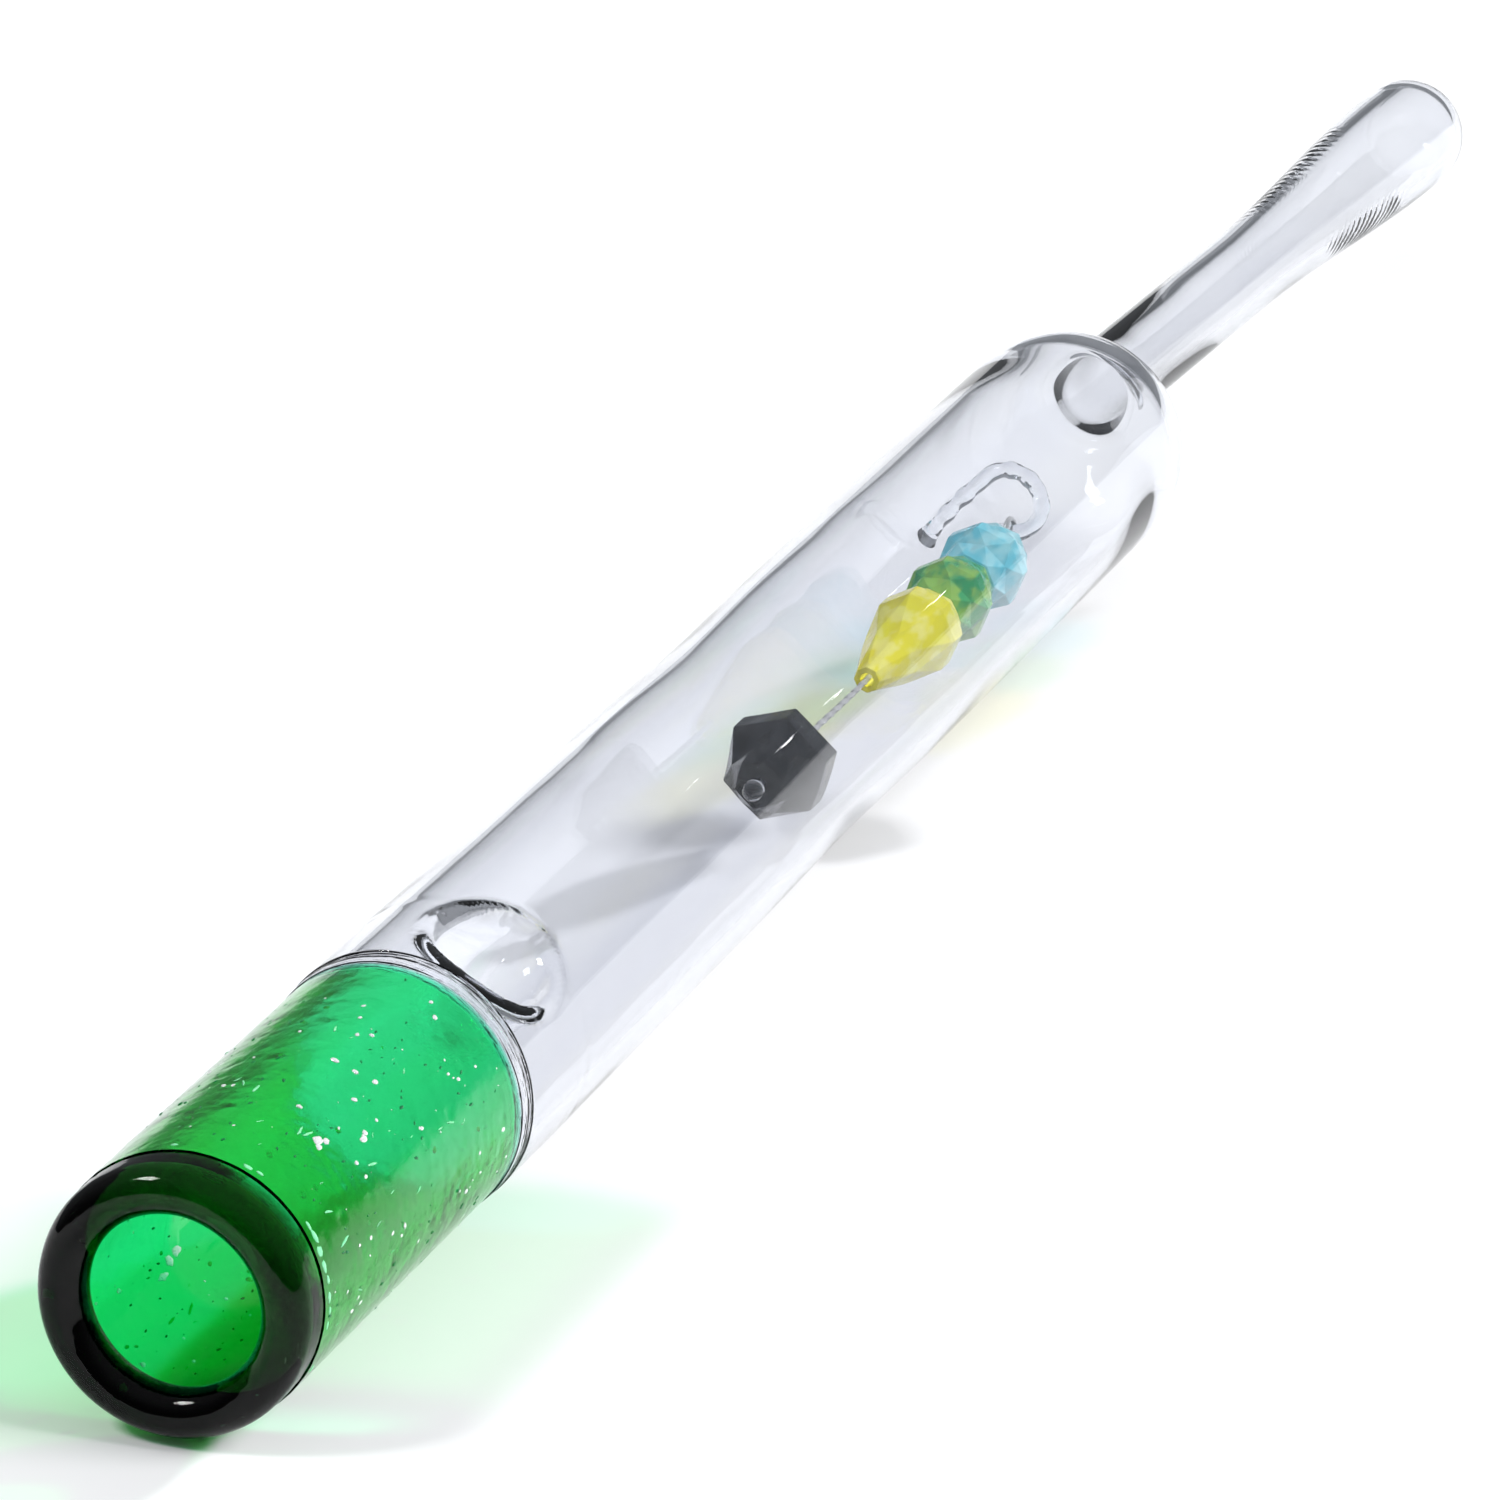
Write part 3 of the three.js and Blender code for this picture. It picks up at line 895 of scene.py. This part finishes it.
def makeWire():
    run = []
    start = beads["black_bead"]["station"] - string["pastBead"]
    end = hook["station"] - string["eye"] + string["intoEye"]
    for station in spread(start, end, 130):
        ring = []
        for k in range(6):
            # every second corner stands out, and the six of them wind round like a twisted wire
            radius = string["radius"] * (1 + string["kink"] * (-1) ** k)
            way = across(60 * k + math.degrees(station * string["twist"]))
            ring.append(placed(station, stringOffset + way * radius))
        run.append(ring)
    corners, faces = loft([[placed(start - 0.1, stringOffset)], *run, [placed(end + 0.1, stringOffset)]])
    middle = stringOffset + Vector((0, 0, string["drop"] * 0.25 - 0.04))
    eyeRings = []
    for turn in spread(0, 2 * math.pi, 40)[:-1]:
        ring = []
        for k in range(10):
            around = 2 * math.pi * k / 10
            reach = string["eye"] + string["eyeWire"] * math.cos(around)
            lift = Vector((string["eyeWire"] * math.sin(around), 0, reach * math.sin(turn)))
            ring.append(placed(hook["station"] + reach * math.cos(turn), middle + lift))
        eyeRings.append(ring)
    eyeCorners, eyeFaces = loft(eyeRings, closed=True)
    shift = len(corners)
    faces += [tuple(corner + shift for corner in face) for face in eyeFaces]
    piece = newPiece("string_wire", corners + eyeCorners, faces, finishes["wire"])
    return finished(piece, "bead_wire", ("bead_wire",))


stop = {"gap": 7.0, "radius": 1.12, "unevenness": 0.06, "columns": 20}


def makeStop():
    centre = beads["black_bead"]["station"] - stop["gap"]
    rings = []
    for latitude in spread(-90, 90, 14)[1:-1]:
        rise, run = math.sin(math.radians(latitude)), math.cos(math.radians(latitude))
        ring = []
        for k in range(stop["columns"]):
            way = across(360 / stop["columns"] * k)
            lump = noise.noise(way * run * 2 + Vector((0, rise * 2, 0)))
            size = stop["radius"] * (1 + stop["unevenness"] * lump)
            ring.append(placed(centre + rise * size, stringOffset + way * run * size))
        rings.append(ring)
    ends = [placed(centre - stop["radius"], stringOffset), placed(centre + stop["radius"], stringOffset)]
    corners, faces = loft([[ends[0]], *rings, [ends[1]]])
    piece = newPiece("stop_drop", corners, faces, finishes["clear"])
    return finished(piece, "bead_wire", ("stop_ball",))


makeWire()
makeStop()
print("wire made")

# Flecks are thin lumps that Geometry Nodes scatter over a carrier skin. Density is how many lie on a square
# millimetre, and wide, long and thick are shares of the size.
fleckShape = {"smallest": 0.35, "largest": 1.35, "turn": 0.5, "ragged": 1.1, "raggedScale": 2600.0}
flecks = {
    "silver_flecks": {
        "finish": "silver", "from": 7, "to": 48, "radius": 13.06, "density": 0.055, "size": 0.15, "wide": 1.0,
        "long": 1.5, "thick": 0.35, "seed": 11,
    },
    # painted shade: dark specks for the shade in the green tube's small bubbles and pits
    "painted_pit_shade": {
        "finish": "pit", "from": 6, "to": 49, "radius": 13.05, "density": 0.10, "size": 0.12, "wide": 0.7,
        "long": 1.7, "thick": 0.4, "seed": 23,
    },
    "inner_flecks": {
        "finish": "silver", "from": 6, "to": 46, "radius": 10.72, "density": 0.03, "size": 0.16, "wide": 1.0,
        "long": 1.4, "thick": 0.35, "seed": 5,
    },
    "frit_streaks": {
        "finish": "frit", "from": 8, "to": 40, "radius": 13.04, "density": 0.035, "size": 0.26, "wide": 0.35,
        "long": 2.2, "thick": 0.15, "seed": 31,
    },
}


def scatterTree():
    tree = bpy.data.node_groups.new("scattered flecks", "GeometryNodeTree")
    face = tree.interface
    face.new_socket("Geometry", in_out="INPUT", socket_type="NodeSocketGeometry")
    for name in ("Density", "Size", "Wide", "Long", "Thick"):
        face.new_socket(name, in_out="INPUT", socket_type="NodeSocketFloat")
    face.new_socket("Seed", in_out="INPUT", socket_type="NodeSocketInt")
    face.new_socket("Finish", in_out="INPUT", socket_type="NodeSocketMaterial")
    face.new_socket("Geometry", in_out="OUTPUT", socket_type="NodeSocketGeometry")
    graph = Graph(tree)
    given = tree.nodes.new("NodeGroupInput")

    def asked(name):
        return Value(graph, given.outputs[name])

    points = graph.add("GeometryNodeDistributePointsOnFaces", {"distribute_method": "RANDOM"}, {
        "Mesh": asked("Geometry"), "Density": asked("Density"), "Seed": asked("Seed")})
    facing = Value(graph, points.socket.node.outputs["Rotation"])
    lump = graph.add("GeometryNodeMeshIcoSphere", {}, {"Radius": 1.0, "Subdivisions": 2})
    spin = graph.add("FunctionNodeRandomValue", {"data_type": "FLOAT"}, {
        "Min": -fleckShape["turn"], "Max": fleckShape["turn"], "Seed": asked("Seed")}, output="Value")
    turned = graph.add("FunctionNodeRotateRotation", {"rotation_space": "LOCAL"}, {
        "Rotation": facing,
        "Rotate By": graph.add("FunctionNodeAxisAngleToRotation", {}, {"Axis": (0, 0, 1), "Angle": spin})})
    chance = graph.add("FunctionNodeRandomValue", {"data_type": "FLOAT"}, {
        "Min": fleckShape["smallest"], "Max": fleckShape["largest"], "Seed": asked("Seed") + 7,
    }, output="Value")
    size = chance * chance * asked("Size")
    shape = graph.add("ShaderNodeCombineXYZ", {}, {
        "X": size * asked("Long"), "Y": size * asked("Wide"), "Z": size * asked("Thick")})
    copies = graph.add("GeometryNodeInstanceOnPoints", {}, {
        "Points": points, "Instance": lump, "Rotation": turned, "Scale": shape})
    solid = graph.add("GeometryNodeRealizeInstances", {}, {"Geometry": copies})
    ragged = graph.add("ShaderNodeTexNoise", {}, {
        "Scale": fleckShape["raggedScale"], "Detail": 1.0}, output="Color")
    centred = graph.add("ShaderNodeVectorMath", {"operation": "SUBTRACT"}, {0: ragged, 1: (0.5, 0.5, 0.5)})
    pushed = graph.add("ShaderNodeVectorMath", {"operation": "SCALE"}, {0: centred})
    graph.feed(pushed.socket.node.inputs["Scale"], asked("Size") * fleckShape["ragged"])
    moved = graph.add("GeometryNodeSetPosition", {}, {"Geometry": solid, "Offset": pushed})
    painted = graph.add("GeometryNodeSetMaterial", {}, {"Geometry": moved, "Material": asked("Finish")})
    out = tree.nodes.new("NodeGroupOutput")
    tree.links.new(painted.socket, out.inputs["Geometry"])
    return tree


def scattered(name, spec, tree):
    rings = [turnedRing(station, spec["radius"], 72) for station in spread(spec["from"], spec["to"], 20)]
    corners, faces = loft(rings)
    carrier = newPiece(name, corners, faces, finishes[spec["finish"]])
    scatter = carrier.modifiers.new("scatter", "NODES")
    scatter.node_group = tree
    wanted = {name.capitalize(): spec[name] for name in ("wide", "long", "thick", "seed")}
    wanted["Density"] = spec["density"] / mm ** 2
    wanted["Size"] = spec["size"] * mm
    wanted["Finish"] = finishes[spec["finish"]]
    for item in tree.interface.items_tree:
        if item.in_out == "INPUT" and item.name in wanted:
            scatter[item.identifier] = wanted[item.name]
    ready = carrier.evaluated_get(bpy.context.evaluated_depsgraph_get())
    mesh = bpy.data.meshes.new_from_object(ready)
    carrier.modifiers.remove(scatter)
    carrier.data = mesh
    mesh.polygons.foreach_set("use_smooth", [True] * len(mesh.polygons))
    return finished(carrier, "glass", ())


scatter = scatterTree()
for fleckName, fleckSpec in flecks.items():
    scattered(fleckName, fleckSpec, scatter)
print("flecks scattered")

# The clumps and flakes big enough to be seen one by one: station, angle, length along, width round.
clumps = {
    "silver_clumps": {
        "finish": "silver", "radius": 13.08, "thick": 0.13,
        "spots": [
            (16.1, 35.3, 0.62, 0.50), (16.9, 37.8, 0.45, 0.34), (15.4, 37.6, 0.40, 0.30),
            (21.8, 47.2, 0.62, 0.34), (22.6, 45.9, 0.34, 0.26), (29.3, 16.2, 0.30, 0.40),
            (29.2, 25.7, 0.28, 0.36), (36.0, 19.3, 0.24, 0.30), (19.1, 20.1, 0.26, 0.32),
            (22.9, 88.0, 0.24, 0.30),
        ],
    },
    "inner_clumps": {
        "finish": "silver", "radius": 10.72, "thick": 0.13,
        "spots": [
            (22.3, -121.3, 0.95, 0.40), (20.6, -122.3, 0.60, 0.50), (18.5, -125.9, 0.90, 0.36),
            (6.7, -108, 0.40, 0.26), (6.1, -120, 0.34, 0.26), (7.4, -150, 0.36, 0.26), (6.4, 178, 0.30, 0.24),
        ],
    },
    "lip_flakes": {
        "finish": "frit", "radius": 13.02, "thick": 0.10,
        "spots": [
            (6.0, 57, 0.26, 0.50), (6.1, 62, 0.34, 0.60), (5.9, 68, 0.42, 0.55), (5.8, 74, 0.32, 0.65),
            (6.0, 80, 0.26, 0.45), (5.9, 87, 0.30, 0.55), (6.0, 93, 0.24, 0.40), (5.8, 99, 0.22, 0.45),
            (5.8, 24, 0.28, 0.55), (6.0, 29, 0.24, 0.35), (6.1, -8, 0.20, 0.35), (6.1, 120, 0.26, 0.45),
            (6.0, -60, 0.26, 0.50), (5.9, -100, 0.28, 0.45), (6.0, 165, 0.26, 0.50), (6.0, -150, 0.24, 0.40),
        ],
    },
}


def makeClumps(name, spec):
    corners, faces = [], []
    for station, degrees, halfLong, halfWide in spec["spots"]:
        rings = []
        for latitude in spread(-90, 90, 8)[1:-1]:
            run = math.cos(math.radians(latitude))
            ring = []
            for k in range(16):
                turn = 2 * math.pi * k / 16
                spot = Vector((math.cos(turn) * 1.6, math.sin(turn) * 1.6, station + degrees))
                reach = run * (1 + 0.45 * noise.noise(spot))
                along = station + math.cos(turn) * reach * halfLong
                around = degrees + math.degrees(math.sin(turn) * reach * halfWide / spec["radius"])
                height = spec["radius"] + spec["thick"] * math.sin(math.radians(latitude))
                ring.append(slanted(along, across(around) * height))
            rings.append(ring)
        way = across(degrees)
        low = slanted(station, way * (spec["radius"] - spec["thick"]))
        high = slanted(station, way * (spec["radius"] + spec["thick"]))
        lumpCorners, lumpFaces = loft([[low], *rings, [high]])
        faces += [tuple(corner + len(corners) for corner in face) for face in lumpFaces]
        corners += lumpCorners
    piece = newPiece(name, corners, faces, finishes[spec["finish"]])
    return finished(piece, "glass", ())


for clumpName, clumpSpec in clumps.items():
    makeClumps(clumpName, clumpSpec)
print("clumps made")

stage = {
    "floorSize": 8.0, "floorHeight": -0.0003,
    "floorColour": (0.93, 0.935, 0.94, 1), "speckColour": (0.95, 0.95, 0.955, 1),
}
# The sky's colours from straight down to straight up, and the dark that it fades to low on the mouth's side.
sky = {
    "stops": [(0.0, (0.26, 0.27, 0.29)), (0.6, (0.19, 0.20, 0.215)), (1.0, (0.30, 0.31, 0.33))],
    "dark": (0.06, 0.063, 0.068, 1), "lean": 0.7, "fade": 0.5,
}
camera = {
    "azimuth": 21.8, "elevation": 22.5, "station": 139.3, "distance": 0.978, "lens": 233.4, "sensor": 36,
    "farthest": 10,
}
# A lamp with a spread in degrees is as far off as the sun, so its place is only a direction.
lamps = {
    "key": {"place": (-0.75, -0.75, 1.15), "size": 0.3, "power": 10, "mirrored": True},
    "glint": {"place": (0.589, 1.14, 0.345), "size": 0.010, "power": 0.006, "mirrored": True},
    "back": {"place": (0.470, 0.814, 0.342), "spread": 6, "power": 3.0, "mirrored": False},
    "side": {"place": (0.743, 0.131, 0.656), "spread": 24, "power": 1.95, "mirrored": False},
}


def makeFloor():
    half, height = stage["floorSize"] / 2, stage["floorHeight"]
    corners = [(x * half, y * half, height) for x, y in ((-1, -1), (1, -1), (1, 1), (-1, 1))]
    shell, graph = newFinish("floor")
    speck = graph.grain(3, detail=2.0)
    colour = graph.mixed(speck, stage["floorColour"], stage["speckColour"])
    surface = solidFinish(shell, graph, colour, 0.9, 0.0, graph.bumped(speck, 0.02))
    floor = newPiece("floor", corners, [(0, 1, 2, 3)], surface, flat=True)


def makeLamp(name, spec):
    light = bpy.data.lights.new(name, "SUN" if "spread" in spec else "AREA")
    if "spread" in spec:
        light.angle = math.radians(spec["spread"])
    else:
        light.shape = "SQUARE"
        light.size = spec["size"]
    light.energy = spec["power"]
    lamp = bpy.data.objects.new(name, light)
    lamp.location = spec["place"]
    lamp.visible_glossy = spec["mirrored"]
    lamp.visible_transmission = spec["mirrored"]
    lamp.rotation_euler = (-Vector(spec["place"])).to_track_quat("-Z", "Y").to_euler()
    bpy.context.scene.collection.objects.link(lamp)


def makeWorld():
    world = bpy.data.worlds.new("studio")
    world.use_nodes = True
    bpy.context.scene.world = world
    graph = Graph(world.node_tree)
    way = graph.add("ShaderNodeTexCoord", output="Generated")
    parts = graph.add("ShaderNodeSeparateXYZ", inputs={0: way}).socket.node.outputs
    height, depth = Value(graph, parts["Z"]), Value(graph, parts["Y"])
    ramp = graph.add("ShaderNodeValToRGB", {"stops": sky["stops"]}, {0: height * 0.5 + 0.5})
    lit = (depth * sky["lean"] + height).above(-sky["fade"], sky["fade"])
    colour = graph.mixed(lit, sky["dark"], ramp)
    glow = graph.add("ShaderNodeBackground", inputs={"Color": colour, "Strength": 1.0})
    graph.add("ShaderNodeOutputWorld", inputs={"Surface": glow})


def makeCamera():
    lens = bpy.data.cameras.new("camera")
    lens.lens = camera["lens"]
    lens.sensor_width = camera["sensor"]
    lens.clip_end = camera["farthest"]
    azimuth, elevation = math.radians(camera["azimuth"]), math.radians(camera["elevation"])
    level = math.cos(elevation)
    back = Vector((math.sin(azimuth) * level, -math.cos(azimuth) * level, math.sin(elevation)))
    eye = bpy.data.objects.new("camera", lens)
    eye.location = placed(camera["station"], Vector()) + back * camera["distance"]
    eye.rotation_euler = (-back).to_track_quat("-Z", "Y").to_euler()
    bpy.context.scene.collection.objects.link(eye)
    bpy.context.scene.camera = eye


makeFloor()
for lampName, lampSpec in lamps.items():
    makeLamp(lampName, lampSpec)
makeWorld()
makeCamera()

scene = bpy.context.scene
scene.view_settings.view_transform = "Standard"
scene.cycles.caustics_reflective = False
scene.cycles.caustics_refractive = False
scene.cycles.max_bounces = 24
scene.cycles.transmission_bounces = 20
scene.cycles.transparent_max_bounces = 32
print("studio set")

bpy.context.view_layer.update()
